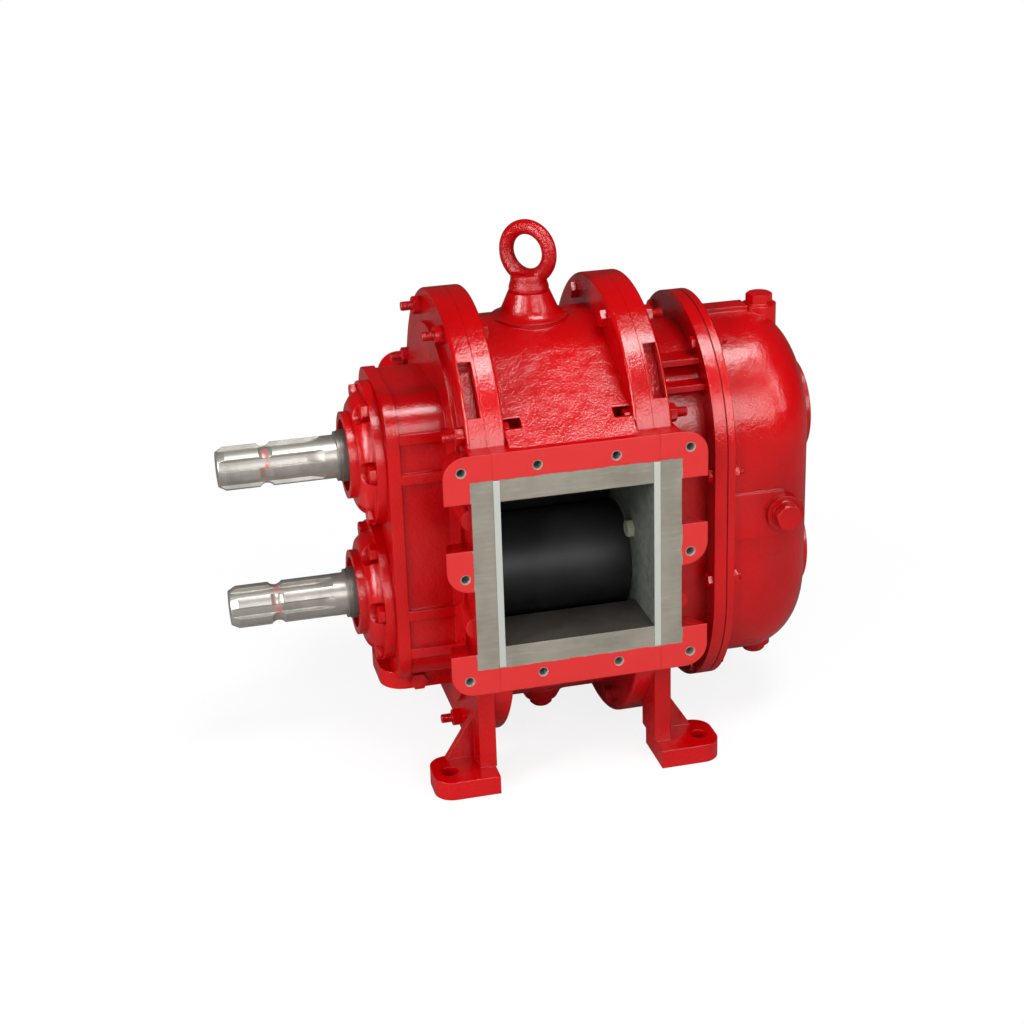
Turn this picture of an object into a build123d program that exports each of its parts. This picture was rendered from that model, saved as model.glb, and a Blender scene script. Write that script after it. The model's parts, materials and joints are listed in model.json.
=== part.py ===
from build123d import *
import os
from math import atan2, cos, hypot, pi, radians, sin, sqrt

# Rotary lobe pump with two splined drive shafts. Millimetres, X along the shafts, the splined ends
# toward -X, the ports toward -Y and +Y, Z up. The origin is on the ground, midway between the feet.

# ---- chamber and rotors -------------------------------------------------------------------------
shaft_centres = 120.0
ground_gap = 3.5
chamber_length = 120.0
bore_radius = 84.0
casing_wall = 17.5
wear_plate_thickness = 5.0
wear_plate_margin = 8.0
rotor_tip_gap = 0.25
rotor_mesh_gap = 0.5
rotor_end_gap = 0.4

# ---- port frames --------------------------------------------------------------------------------
port_face = 136.0
port_opening = 120.0
port_half_height = 98.5
port_edge_depth = 6.5
plate_tongue_half_height = 77.0
strip_width = 17.0
lug_reach = 21.0
strip_depth = 22.5
lug_depth = 34.0
lug_root_overlap = 4.0
lug_corner = 18.0
lug_draft = 12.0
corner_lug_bottom = 61.0
low_lug_drop = 3.0
middle_lug_bottom = -11.0
middle_lug_top = 23.0
cheek_radius = 9.0
cheek_height = 44.5
cheek_setback = 7.0
port_hole_x = 89.0
port_hole_z = 86.0
port_inner_hole_x = 30.6
port_tap_bore = 6.8
port_tap_depth = 22.0

# ---- end shields and their feet ---------------------------------------------------------------------
rim_radius = 126.5
rim_edge_round = 2.5
casing_flange_thickness = 15.0
shield_thickness = 15.0
hub_radius = 100.0
hub_height = 4.0
chamber_bolt_circle = 113.5
chamber_bolt_angles = (22.5, 67.5)
rim_pocket_angle = 52.0
rim_pocket_length = 45.0
rim_pocket_depth = 9.0
rim_pocket_overcut = 2.0
rim_pocket_width = 10.5
leg_thickness = 13.5
leg_inner_x = 66.0
leg_front = 116.0
leg_depth = 34.0
foot_inner_x = 67.0
foot_outer_x = 118.0
foot_front = 133.0
foot_back = 88.0
foot_thickness = 15.5
foot_corner = 15.0
foot_hole_x = 104.3
foot_hole_y = 113.3
foot_hole = 14.0
gusset_thickness = 7.0
gusset_reach = 23.0
gusset_height = 38.0
gusset_root = 1.0
arch_height = 15.0
arch_half_width = 82.0

# ---- drive end --------------------------------------------------------------------------------
drive_housing_width = 124.0
drive_housing_top = 118.0
drive_housing_bottom = 122.0
drive_housing_corner = 30.0
drive_housing_face = 131.0
drive_flange_thickness = 10.0
drive_flange_step = 2.0
drive_rib_height = 4.0
drive_rib_thickness = 8.5
drive_rib_levels = (58.0, 91.0)
cover_radius = 58.0
cover_flange_thickness = 8.0
cover_shoulder_radius = 50.0
cover_neck_radius = 35.0
cover_neck_start = 150.0
cover_neck_end = 156.0
cover_recess_radius = 29.0
cover_recess_depth = 5.0
cover_screw_circle = 50.0
cover_screw_count = 6
cover_scallop_radius = 9.5
cover_spigot_gap = 0.2
cover_bore_gap = 1.5
cover_dome_slope = 0.15
lug_plate_thickness = 15.0
lug_plate_half_width = 35.0
lug_plate_end = 141.0
lug_plate_corner = 20.0
plate_plug_x = 112.0
plate_plug_flats = 13.0
plate_plug_head = 4.0
plate_plug_thread = 10.0
plate_plug_depth = 12.0

# ---- gear end ----------------------------------------------------------------------------------
gear_neck_radius = 84.0
gear_flange_start = 119.5
gear_flange_thickness = 10.0
case_flange_thickness = 6.0
gear_flange_edge = 8.5
gasket_thickness = 0.8
gear_bolt_wall_gap = 8.0
gear_bolt_angle = 34.0
gear_bolt_side_height = 45.0
gear_cover_radius = 89.0
gear_cover_end = 216.5
gear_cover_round = 45.0
gear_cover_wall = 9.0
end_boss_radius = 40.0
end_boss_height = 8.5
neck_rib_levels = (112.0, 129.0)
neck_rib_thickness = 5.0
neck_rib_setback = 5.0
crown_rib_half_width = 9.0
crown_rib_height = 3.5
crown_rib_overlap = 1.0
plug_x = 193.0
fill_boss_radius = 14.0
fill_boss_height = 2.0
level_x = 183.0
level_height = 3.0
level_pad_half_height = 19.5
level_pad_height = 3.0
level_boss_radius = 15.5
level_boss_height = 7.0
drain_boss_radius = 14.0
drain_boss_height = 6.5
plug_thread = 17.0
plug_bore_depth = 14.0
plug_stem = 12.0
plug_collar = 1.5
plug_collar_margin = 0.8
fill_plug_flats = 19.0
fill_plug_head = 7.5
level_plug_flats = 20.0
level_plug_head = 8.0
drain_plug_flats = 17.0
drain_plug_head = 5.5

# ---- lifting eye and casing drain ---------------------------------------------------------------------
eye_cone_height = 19.5
eye_cone_base_radius = 25.0
eye_cone_top_radius = 16.5
eye_ring_radius = 21.4
eye_ring_section = 6.0
eye_ring_above_cone = 32.4
eye_collar_radius = 14.5
eye_neck_radius = 5.0
eye_turn = -47.0
eye_shank = 12.0
eye_shank_length = 18.0
eye_thread_run_out = 1.0
cone_flare_height = 7.0
cone_flare_width = 6.0
spout_top_radius = 23.0
spout_bottom_radius = 14.0
spout_length = 16.5
spout_plug_radius = 9.5
spout_plug_head = 8.0
spout_plug_bore = 14.0

# ---- shafts ------------------------------------------------------------------------------------
shaft_end = 257.0
spline_major = 34.87
spline_root = 29.0
spline_tooth_width = 8.6
spline_teeth = 6
spline_full_length = 70.0
spline_run_out = 16.0
spline_chamfer_length = 6.0
spline_chamfer_height = 3.4
lock_groove_place = 38.0
lock_groove_radius = 6.8
lock_groove_bottom = 29.4
collar_start = 162.5
seal_seat_start = 159.5
shaft_body_diameter = 50.0
bearing_shoulder = 2.5
bearing_section = 20.0
bearing_width = 19.0
bearing_start = 101.0
bearing_race = 7.0
bearing_running_gap = 0.1
gear_seat_step = 1.5
collar_step = 1.0
gear_start = 142.0
gear_width = 26.0
nut_seat_step = 2.0
nut_thickness = 11.0
nut_wall = 11.0
spacer_wall = 9.0
shaft_tail = 4.0
running_gap = 0.1
press_gap = 0.02

# ---- keys, gears and seals -----------------------------------------------------------------------------
gear_teeth = 30
gear_backlash = 0.35
gear_addendum = 0.95
gear_dedendum = 1.2
gear_pressure_angle = 20.0
key_width = 14.0
key_height = 9.0
key_depth = 5.5
rotor_key_length = 100.0
gear_key_length = 22.0
seal_seat_wall = 9.5
seal_seat_thickness = 8.0
seal_seat_bore_gap = 1.5
seal_ring_wall = 8.0
seal_ring_end_gap = 0.3
lip_seal_wall = 10.0
lip_seal_start = 141.5
lip_seal_width = 7.0

# ---- fasteners ---------------------------------------------------------------------------------
large_thread = 8.0
large_flats = 13.0
large_head = 5.3
small_thread = 6.0
small_flats = 10.0
small_head = 4.0
nut_height_share = 1.3
cover_screw_length = 20.0
hole_clearance = 1.0
chamber_tail = 9.0
gear_tail = 4.0
wear_plate_screw_y = 77.0
spot_face_margin = 3.5
spot_face_depth = 14.0

# ---- values that follow from those above --------------------------------------------------------------------
half_centres = shaft_centres / 2
centre_height = half_centres + rim_radius + ground_gap
shaft_heights = {"upper": centre_height + half_centres, "lower": centre_height - half_centres}
shaft_turns = {"upper": 124.0, "lower": 146.0}
chamber_end = chamber_length / 2
seam_x = chamber_end + wear_plate_thickness
shield_face = seam_x + shield_thickness
hub_face = shield_face + hub_height
flange_inner_x = seam_x - casing_flange_thickness
casing_radius = bore_radius + casing_wall
wear_plate_radius = bore_radius + wear_plate_margin
strip_face = seam_x + strip_width
lug_face = strip_face + lug_reach
bearing_end = bearing_start + bearing_width
gear_flange_end = gear_flange_start + gear_flange_thickness
cover_flange_start = gear_flange_end + gasket_thickness
cover_flange_end = cover_flange_start + case_flange_thickness
bearing_bore = shaft_body_diameter - 2 * bearing_shoulder
bearing_outside = bearing_bore + 2 * bearing_section
gear_seat_diameter = bearing_bore - 2 * gear_seat_step
seal_seat_diameter = gear_seat_diameter
collar_diameter = seal_seat_diameter - 2 * collar_step
nut_seat_diameter = gear_seat_diameter - 2 * nut_seat_step
nut_radius = nut_seat_diameter / 2 + nut_wall
spacer_radius = gear_seat_diameter / 2 + spacer_wall
cover_bore = seal_seat_diameter / 2 + cover_bore_gap
lip_seal_radius = seal_seat_diameter / 2 + lip_seal_wall
seal_bore_radius = shaft_body_diameter / 2 + seal_seat_bore_gap + seal_seat_wall
seal_ring_radius = shaft_body_diameter / 2 + seal_ring_wall
gear_bolt_circle = gear_cover_radius + gear_bolt_wall_gap
gear_flange_radius = gear_bolt_circle + gear_flange_edge
gear_end = gear_start + gear_width
nut_end = gear_end + nut_thickness
gear_module = shaft_centres / gear_teeth
rotor_radius = bore_radius - rotor_tip_gap
crown_rib_end = plug_x - fill_boss_radius + crown_rib_overlap
casing_top = half_centres + casing_radius
cover_top = half_centres + gear_cover_radius
crown_rib_top = cover_top + crown_rib_height
fill_boss_top = cover_top + fill_boss_height
drain_boss_bottom = cover_top + drain_boss_height
level_pad_face = gear_cover_radius + level_pad_height
level_boss_face = gear_cover_radius + level_boss_height
eye_seat_height = casing_top + eye_cone_height
eye_ring_height = eye_seat_height + eye_ring_above_cone
spout_bottom = casing_top + spout_length
large_bolt = (large_thread, large_flats, large_head)
small_bolt = (small_thread, small_flats, small_head)

os.makedirs("parts", exist_ok=True)


def across(x):
    """Plane square to the shafts at x: local x runs along Y, local y up from mid height."""
    return Plane(origin=(x, 0, centre_height), x_dir=(0, 1, 0), z_dir=(1, 0, 0))


def port_plane(depth):
    """Plane parallel to the front port face: local x runs along X, local y up from mid height."""
    return Plane(origin=(0, -depth, centre_height), x_dir=(1, 0, 0), z_dir=(0, -1, 0))


def port_face_plane(side):
    """Plane on the front (-1) or rear (1) port face, with local x along X and its normal outward."""
    return Plane(origin=(0, side * port_face, centre_height), x_dir=(1, 0, 0), z_dir=(0, side, 0))


def shaft_plane(x, height, turn):
    """Plane square to one shaft, with local x turned with that shaft."""
    way = (0, cos(radians(turn)), sin(radians(turn)))
    return Plane(origin=(x, 0, height), x_dir=way, z_dir=(1, 0, 0))


def axial_plane(height):
    """Plane through one shaft axis: local x along the shaft, local y radial."""
    return Plane(origin=(0, 0, height), x_dir=(1, 0, 0), z_dir=(0, -1, 0))


def shaft_axis(height):
    return Axis((0, 0, height), (1, 0, 0))


def finish(builder, name):
    builder.part.label = name
    export_step(builder.part, f"parts/{name}.step")


def obround_places(circle, angles):
    """Places on an obround round both shafts: angles from the vertical, on both outer halves."""
    places = []
    for angle in angles:
        for side in (-1, 1):
            for half in (-1, 1):
                y = side * circle * sin(radians(angle))
                z = half * (half_centres + circle * cos(radians(angle)))
                places.append((y, z))
    return places


chamber_bolt_places = obround_places(chamber_bolt_circle, chamber_bolt_angles)
gear_bolt_places = obround_places(gear_bolt_circle, (gear_bolt_angle,))
gear_bolt_places += [(y * gear_bolt_circle, z * gear_bolt_side_height) for y in (-1, 1) for z in (-1, 1)]
cover_screw_places = [
    (cover_screw_circle * cos(2 * pi * k / cover_screw_count), half * half_centres
     + cover_screw_circle * sin(2 * pi * k / cover_screw_count))
    for half in (-1, 1) for k in range(cover_screw_count)
]


# ---- pump casing ------------------------------------------------------------------------------------
# Two half shells, each with one of the crossing bores, half of the front and rear ports and a flange
# at each end. The upper one has the cone of the lifting eye, the lower one has the drain spout.
def casing_shell(half):
    with BuildPart() as shell:
        for start in (-seam_x, flange_inner_x):
            with BuildSketch(across(start)):
                SlotCenterToCenter(shaft_centres, 2 * rim_radius, rotation=90)
            extrude(amount=casing_flange_thickness)
        inner_faces = shell.faces().filter_by(Axis.X).sort_by(lambda face: abs(face.center().X))[:2]
        fillet(inner_faces.edges(), rim_edge_round)
        with BuildSketch(across(-flange_inner_x)) as body_outline:
            with Locations((0, half_centres), (0, -half_centres)):
                Circle(casing_radius)
            Rectangle(2 * (port_face - port_edge_depth), 2 * port_half_height)
            make_hull(body_outline.edges())
            Rectangle(2 * port_face, 2 * port_half_height)
        extrude(amount=2 * flange_inner_x)
        with BuildSketch(across(-seam_x)):
            Rectangle(2 * port_face, 2 * port_half_height)
        extrude(amount=2 * seam_x)
        # flared cone of the lifting eye, or drain spout
        base_radius, mouth_radius, mouth_height = (
            (eye_cone_base_radius, eye_cone_top_radius, eye_seat_height) if half > 0
            else (spout_top_radius, spout_bottom_radius, spout_bottom))
        flare_height = casing_top + cone_flare_height
        slope = (base_radius - mouth_radius) / (mouth_height - casing_top)
        flare_radius = base_radius - slope * cone_flare_height
        floor_height = casing_top - casing_wall / 2
        with BuildSketch(Plane(origin=(0, 0, centre_height), x_dir=(1, 0, 0), z_dir=(0, -half, 0))):
            with BuildLine():
                Polyline((0, floor_height), (0, mouth_height), (mouth_radius, mouth_height),
                         (flare_radius, flare_height))
                TangentArc((flare_radius, flare_height), (base_radius + cone_flare_width, casing_top),
                           tangent=(slope, -1))
                Polyline((base_radius + cone_flare_width, casing_top),
                         (base_radius + cone_flare_width, floor_height), (0, floor_height))
            make_face()
        revolve(axis=Axis.Z)
        # bores, ports and the seats of the wear plates
        with BuildSketch(across(-chamber_end)):
            with Locations((0, half_centres), (0, -half_centres)):
                Circle(bore_radius)
            Rectangle(2 * port_face, port_opening)
        extrude(amount=chamber_length, mode=Mode.SUBTRACT)
        for start in (-seam_x, chamber_end):
            with BuildSketch(across(start)):
                SlotCenterToCenter(shaft_centres, 2 * wear_plate_radius, rotation=90)
                Rectangle(2 * port_face, 2 * plate_tongue_half_height)
            extrude(amount=wear_plate_thickness, mode=Mode.SUBTRACT)
        # holes of the flange bolts, with spot faces for the heads beside the ports
        with BuildSketch(across(-seam_x)):
            with Locations(*chamber_bolt_places):
                Circle((large_thread + hole_clearance) / 2)
        extrude(amount=2 * seam_x, mode=Mode.SUBTRACT)
        for start in (-flange_inner_x, flange_inner_x - spot_face_depth):
            with BuildSketch(across(start)):
                with Locations(*obround_places(chamber_bolt_circle, chamber_bolt_angles[1:])):
                    Circle(large_flats / 2 + spot_face_margin)
            extrude(amount=spot_face_depth, mode=Mode.SUBTRACT)
        # tapped holes: port bars front and rear, lifting eye or drain
        for side in (-1, 1):
            with BuildSketch(port_face_plane(side)):
                with GridLocations(2 * port_inner_hole_x, 2 * port_hole_z, 2, 2):
                    Circle(port_tap_bore / 2)
            extrude(amount=-port_tap_depth, mode=Mode.SUBTRACT)
        if half > 0:
            with Locations(Location((0, 0, centre_height + eye_seat_height))):
                Hole(eye_shank / 2, depth=eye_shank_length + eye_thread_run_out)
        else:
            with Locations(Location((0, 0, centre_height - spout_bottom), (180, 0, 0))):
                Hole(plug_thread / 2, depth=spout_plug_bore)
        split(bisect_by=Plane.XY.offset(centre_height), keep=Keep.TOP if half > 0 else Keep.BOTTOM)
    return shell


finish(casing_shell(1), "upper_casing")
finish(casing_shell(-1), "lower_casing")


# ---- end shields --------------------------------------------------------------------------------------
def lug_blocks():
    """Outlines of the three lugs of one port side: bottom, top, and the rounded corner's side."""
    return (
        (corner_lug_bottom, port_half_height, 1),
        (middle_lug_bottom, middle_lug_top, -1),
        (-port_half_height, -corner_lug_bottom - low_lug_drop, -1),
    )


def shield_body():
    """The shape shared by both end shields, built at the gear end."""
    with BuildPart() as shield:
        with BuildSketch(across(seam_x)):
            SlotCenterToCenter(shaft_centres, 2 * rim_radius, rotation=90)
        extrude(amount=shield_thickness)
        fillet(shield.faces().sort_by(Axis.X)[-1].edges(), rim_edge_round)
        with BuildSketch(across(shield_face)):
            SlotCenterToCenter(shaft_centres, 2 * hub_radius, rotation=90)
        extrude(amount=hub_height)
        # port strips with their lugs, front and rear
        with BuildSketch(across(seam_x)):
            with Locations((-port_face + strip_depth / 2, 0), (port_face - strip_depth / 2, 0)):
                Rectangle(strip_depth, 2 * port_half_height)
        extrude(amount=strip_width)
        for front in (True, False):
            face = port_face_plane(-1 if front else 1)
            for bottom, top, corner in lug_blocks():
                low, high = (bottom, top) if front else (-top, -bottom)
                round_high = corner > 0 if front else corner < 0
                inner, outer = seam_x + lug_root_overlap, lug_face
                with BuildSketch(face):
                    with BuildLine():
                        if round_high:
                            Polyline((inner, high), (inner, low), (outer, low), (outer, high - lug_corner))
                            TangentArc((outer, high - lug_corner), (outer - lug_corner, high),
                                       tangent=(0, 1))
                            Line((outer - lug_corner, high), (inner, high))
                        else:
                            Polyline((inner, low), (inner, high), (outer, high), (outer, low + lug_corner))
                            TangentArc((outer, low + lug_corner), (outer - lug_corner, low),
                                       tangent=(0, -1))
                            Line((outer - lug_corner, low), (inner, low))
                    make_face()
                extrude(amount=-lug_depth, taper=lug_draft)
            with BuildSketch(face.offset(-cheek_setback)):
                with Locations((shield_face, cheek_height), (shield_face, -cheek_height)):
                    Circle(cheek_radius)
            extrude(amount=-lug_depth)
        # feet: a leg at each port with a pad, joined by the arch of the shield
        for side in (-1, 1):
            foot_middle = side * (foot_front + foot_back) / 2
            with BuildSketch(Plane.XY) as pad:
                with Locations(((foot_inner_x + foot_outer_x) / 2, foot_middle)):
                    Rectangle(foot_outer_x - foot_inner_x, foot_front - foot_back)
                fillet(pad.vertices().group_by(Axis.X)[-1], foot_corner)
            extrude(amount=foot_thickness)
            with BuildSketch(Plane.XY.offset(foot_thickness)):
                with Locations((leg_inner_x + leg_thickness / 2, side * (leg_front - leg_depth / 2))):
                    Rectangle(leg_thickness, leg_depth)
            extrude(amount=centre_height - port_half_height)
            # gusset from the pad's back up the shield
            with BuildSketch(Plane.XZ.offset(-side * foot_back)):
                with BuildLine():
                    Polyline((shield_face - gusset_root, foot_thickness),
                             (shield_face + gusset_reach, foot_thickness),
                             (shield_face - gusset_root, foot_thickness + gusset_height), close=True)
                make_face()
            extrude(amount=-side * gusset_thickness)
        # the arch that frees the ground between the feet
        with BuildSketch(across(seam_x)):
            with Locations((0, -centre_height)):
                Rectangle(2 * arch_half_width, 2 * arch_height)
        extrude(amount=hub_face - seam_x, mode=Mode.SUBTRACT)
        # pockets cored into the rim between the bolts
        with BuildSketch(across(seam_x + (shield_thickness - rim_pocket_width) / 2)):
            for half in (-1, 1):
                with Locations((0, half * half_centres)):
                    for side in (-1, 1):
                        middle = 90 * half + side * rim_pocket_angle
                        with PolarLocations(rim_radius - rim_pocket_depth / 2, 1, start_angle=middle):
                            Rectangle(rim_pocket_depth + 2 * rim_pocket_overcut, rim_pocket_length)
        extrude(amount=rim_pocket_width, mode=Mode.SUBTRACT)
        # holes: flange bolts, seal bores, port threads, foot bolts
        with BuildSketch(across(seam_x)):
            with Locations(*chamber_bolt_places):
                Circle((large_thread + hole_clearance) / 2)
            with Locations((0, half_centres), (0, -half_centres)):
                Circle(seal_bore_radius)
        extrude(amount=hub_face - seam_x, mode=Mode.SUBTRACT)
        for way in (-1, 1):
            with BuildSketch(port_face_plane(way)):
                with Locations(*[(port_hole_x, z * port_hole_z) for z in (-1, 0, 1)]):
                    Circle(port_tap_bore / 2)
            extrude(amount=-port_tap_depth, mode=Mode.SUBTRACT)
            with Locations((foot_hole_x, way * foot_hole_y, foot_thickness)):
                Hole(foot_hole / 2, depth=2 * foot_thickness)
    return shield


shield = shield_body()

# Gear end: a waisted neck with ribs carries the bearings and ends in the gear-case flange.
with BuildPart() as gear_end_shield:
    add(shield.part)
    with BuildSketch(across(hub_face)):
        SlotCenterToCenter(shaft_centres, 2 * gear_neck_radius, rotation=90)
    extrude(amount=gear_flange_end - hub_face)
    with BuildSketch(across(gear_flange_start)):
        SlotCenterToCenter(shaft_centres, 2 * gear_flange_radius, rotation=90)
    extrude(amount=gear_flange_thickness)
    with BuildSketch(across(hub_face)):
        for level in neck_rib_levels:
            rib_half_width = sqrt((hub_radius - neck_rib_setback) ** 2 - (level - half_centres) ** 2)
            with Locations((0, level), (0, -level)):
                Rectangle(2 * rib_half_width, neck_rib_thickness)
    extrude(amount=gear_flange_start - hub_face)
    with BuildSketch(across(seam_x)):
        with Locations((0, half_centres), (0, -half_centres)):
            Circle(seal_bore_radius)
    extrude(amount=gear_flange_end - seam_x, mode=Mode.SUBTRACT)
    with BuildSketch(across(bearing_start)):
        with Locations((0, half_centres), (0, -half_centres)):
            Circle(bearing_outside / 2 + press_gap)
    extrude(amount=gear_flange_end - bearing_start, mode=Mode.SUBTRACT)
    with BuildSketch(across(gear_flange_start)):
        with Locations(*gear_bolt_places):
            Circle((small_thread + hole_clearance) / 2)
    extrude(amount=gear_flange_thickness, mode=Mode.SUBTRACT)
finish(gear_end_shield, "gear_end_shield")

# Drive end: the mirrored shield carries the bearing housing with its ribs and the support plate below.
with BuildPart() as drive_end_shield:
    add(mirror(shield.part, about=Plane.YZ))
    housing_height = drive_housing_top + drive_housing_bottom
    housing_middle = (drive_housing_top - drive_housing_bottom) / 2
    with BuildSketch(across(-hub_face)):
        with Locations((0, housing_middle)):
            RectangleRounded(drive_housing_width, housing_height, drive_housing_corner)
    extrude(amount=hub_face - drive_housing_face)
    with BuildSketch(across(-drive_housing_face)):
        with Locations((0, housing_middle)):
            RectangleRounded(drive_housing_width + 2 * drive_flange_step,
                             housing_height + 2 * drive_flange_step, drive_housing_corner + drive_flange_step)
    extrude(amount=drive_flange_thickness)
    with BuildSketch(across(-drive_housing_face + drive_flange_thickness)):
        for level in drive_rib_levels:
            for half in (-1, 1):
                with Locations((0, half * level)):
                    Rectangle(drive_housing_width + 2 * drive_rib_height, drive_rib_thickness)
    extrude(amount=drive_housing_face - drive_flange_thickness - hub_face)
    # support plate under the housing
    with BuildSketch(Plane.XY.offset(centre_height - drive_housing_bottom)) as support:
        with Locations((-(lug_plate_end + shield_face) / 2, 0)):
            Rectangle(lug_plate_end - shield_face, 2 * lug_plate_half_width)
        fillet(support.vertices().group_by(Axis.X)[0], lug_plate_corner)
    extrude(amount=-lug_plate_thickness)
    with BuildSketch(across(-seam_x)):
        with Locations((0, half_centres), (0, -half_centres)):
            Circle(seal_bore_radius)
    extrude(amount=seam_x - drive_housing_face, mode=Mode.SUBTRACT)
    with BuildSketch(across(-bearing_start)):
        with Locations((0, half_centres), (0, -half_centres)):
            Circle(bearing_outside / 2 + press_gap)
    extrude(amount=bearing_start - drive_housing_face, mode=Mode.SUBTRACT)
    with BuildSketch(across(-drive_housing_face)):
        with Locations(*cover_screw_places):
            Circle(large_thread / 2)
    extrude(amount=cover_screw_length, mode=Mode.SUBTRACT)
    # threaded hole of the small plug in the plate's front edge
    plate_plug_seat = Plane(
        origin=(-plate_plug_x, -lug_plate_half_width,
                centre_height - drive_housing_bottom - lug_plate_thickness / 2),
        x_dir=(1, 0, 0), z_dir=(0, -1, 0))
    with BuildSketch(plate_plug_seat):
        Circle(plate_plug_thread / 2)
    extrude(amount=-plate_plug_depth, mode=Mode.SUBTRACT)
finish(drive_end_shield, "drive_end_shield")


# ---- wear plates ---------------------------------------------------------------------------------------
# Hardened plates let into both ends of the casing, each with a tongue into either port.
for name, start in (("drive_wear_plate", -seam_x), ("gear_wear_plate", chamber_end)):
    with BuildPart() as wear_plate:
        with BuildSketch(across(start)):
            SlotCenterToCenter(shaft_centres, 2 * wear_plate_radius, rotation=90)
            Rectangle(2 * port_face, 2 * plate_tongue_half_height)
            with Locations((0, half_centres), (0, -half_centres)):
                Circle(seal_bore_radius - seal_seat_bore_gap, mode=Mode.SUBTRACT)
        extrude(amount=wear_plate_thickness)
        with BuildSketch(across(start)):
            with Locations((-wear_plate_screw_y, 0), (wear_plate_screw_y, 0)):
                Circle(large_thread / 2)
        extrude(amount=wear_plate_thickness, mode=Mode.SUBTRACT)
    finish(wear_plate, name)


# ---- fasteners -------------------------------------------------------------------------------------------
def hexagon(across_flats):
    return RegularPolygon(across_flats / 2, 6, major_radius=False)


def hex_bolts(places, seat, way, size, length):
    """Hex bolts parallel to the shafts: heads on the seat at x, growing along way, shanks opposite."""
    thread, across_flats, head = size
    with BuildPart() as bolts:
        with BuildSketch(across(seat)):
            with Locations(*places):
                hexagon(across_flats)
        extrude(amount=way * head)
        with BuildSketch(across(seat)):
            with Locations(*places):
                Circle(thread / 2 - press_gap)
        extrude(amount=-way * length)
    return bolts


def hex_nuts(places, seat, way, size):
    """Hex nuts on the seat at x, growing along way, bored for their bolts."""
    thread, across_flats, head = size
    with BuildPart() as nuts:
        with BuildSketch(across(seat)):
            with Locations(*places):
                hexagon(across_flats)
                Circle(thread / 2, mode=Mode.SUBTRACT)
        extrude(amount=way * head * nut_height_share)
    return nuts


chamber_bolt_length = (casing_flange_thickness + shield_thickness + large_head * nut_height_share
                       + chamber_tail)
gear_bolt_length = cover_flange_end - gear_flange_start + small_head * nut_height_share + gear_tail
for name, way in (("drive", -1), ("gear", 1)):
    bolts = hex_bolts(chamber_bolt_places, way * flange_inner_x, -way, large_bolt, chamber_bolt_length)
    finish(bolts, f"{name}_chamber_bolts")
    nuts = hex_nuts(chamber_bolt_places, way * shield_face, way, large_bolt)
    finish(nuts, f"{name}_chamber_nuts")
finish(hex_bolts(gear_bolt_places, gear_flange_start, -1, small_bolt, gear_bolt_length), "gear_case_bolts")
finish(hex_nuts(gear_bolt_places, cover_flange_end, 1, small_bolt), "gear_case_nuts")
for name, way in (("drive", -1), ("gear", 1)):
    screws = hex_bolts([(-wear_plate_screw_y, 0), (wear_plate_screw_y, 0)], way * chamber_end, -way, large_bolt,
                       wear_plate_thickness)
    finish(screws, f"{name}_wear_plate_screws")


# ---- drive end covers --------------------------------------------------------------------------------------
# Domed bearing covers with a neck ring round the shaft, a spigot in the bearing bore and a lip seal.
for name, height in shaft_heights.items():
    with BuildPart() as cover:
        with BuildSketch(axial_plane(height)):
            with BuildLine():
                shoulder = (-drive_housing_face - cover_flange_thickness, cover_shoulder_radius)
                neck = (-cover_neck_start, cover_neck_radius)
                Polyline((-bearing_end, cover_bore), (-bearing_end, bearing_outside / 2 - cover_spigot_gap),
                         (-drive_housing_face, bearing_outside / 2 - cover_spigot_gap),
                         (-drive_housing_face, cover_radius), (shoulder[0], cover_radius), shoulder)
                TangentArc(shoulder, neck, tangent=(-1, -cover_dome_slope))
                Polyline(neck, (-cover_neck_end, cover_neck_radius), (-cover_neck_end, cover_recess_radius),
                         (-cover_neck_end + cover_recess_depth, cover_recess_radius),
                         (-cover_neck_end + cover_recess_depth, cover_bore), (-bearing_end, cover_bore))
            make_face()
        revolve(axis=shaft_axis(height))
        with BuildSketch(across(-lip_seal_start - lip_seal_width)):
            with Locations((0, height - centre_height)):
                Circle(lip_seal_radius + press_gap)
        extrude(amount=lip_seal_width, mode=Mode.SUBTRACT)
        with BuildSketch(across(-drive_housing_face)):
            with Locations(*cover_screw_places):
                Circle((large_thread + hole_clearance) / 2)
        extrude(amount=-cover_flange_thickness, mode=Mode.SUBTRACT)
        # the dome is scalloped round the screw heads
        with BuildSketch(across(-drive_housing_face - cover_flange_thickness)):
            with Locations(*cover_screw_places):
                Circle(cover_scallop_radius)
        extrude(amount=drive_housing_face - cover_neck_end, mode=Mode.SUBTRACT)
    finish(cover, f"{name}_bearing_cover")
screw_seat = -drive_housing_face - cover_flange_thickness
finish(hex_bolts(cover_screw_places, screw_seat, -1, large_bolt, cover_screw_length),
       "bearing_cover_screws")


# ---- gear case cover ---------------------------------------------------------------------------------------
# A domed obround case with a round boss in line with each shaft, ribs with filler and drain bosses at
# the crown and the sump, and the level boss on the port side.
with BuildPart() as cavity:
    with BuildSketch(across(cover_flange_start)):
        SlotCenterToCenter(shaft_centres, 2 * (gear_cover_radius - gear_cover_wall), rotation=90)
    extrude(amount=gear_cover_end - gear_cover_wall - cover_flange_start)
    fillet(cavity.faces().sort_by(Axis.X)[-1].edges(), gear_cover_round - gear_cover_wall)

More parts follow.
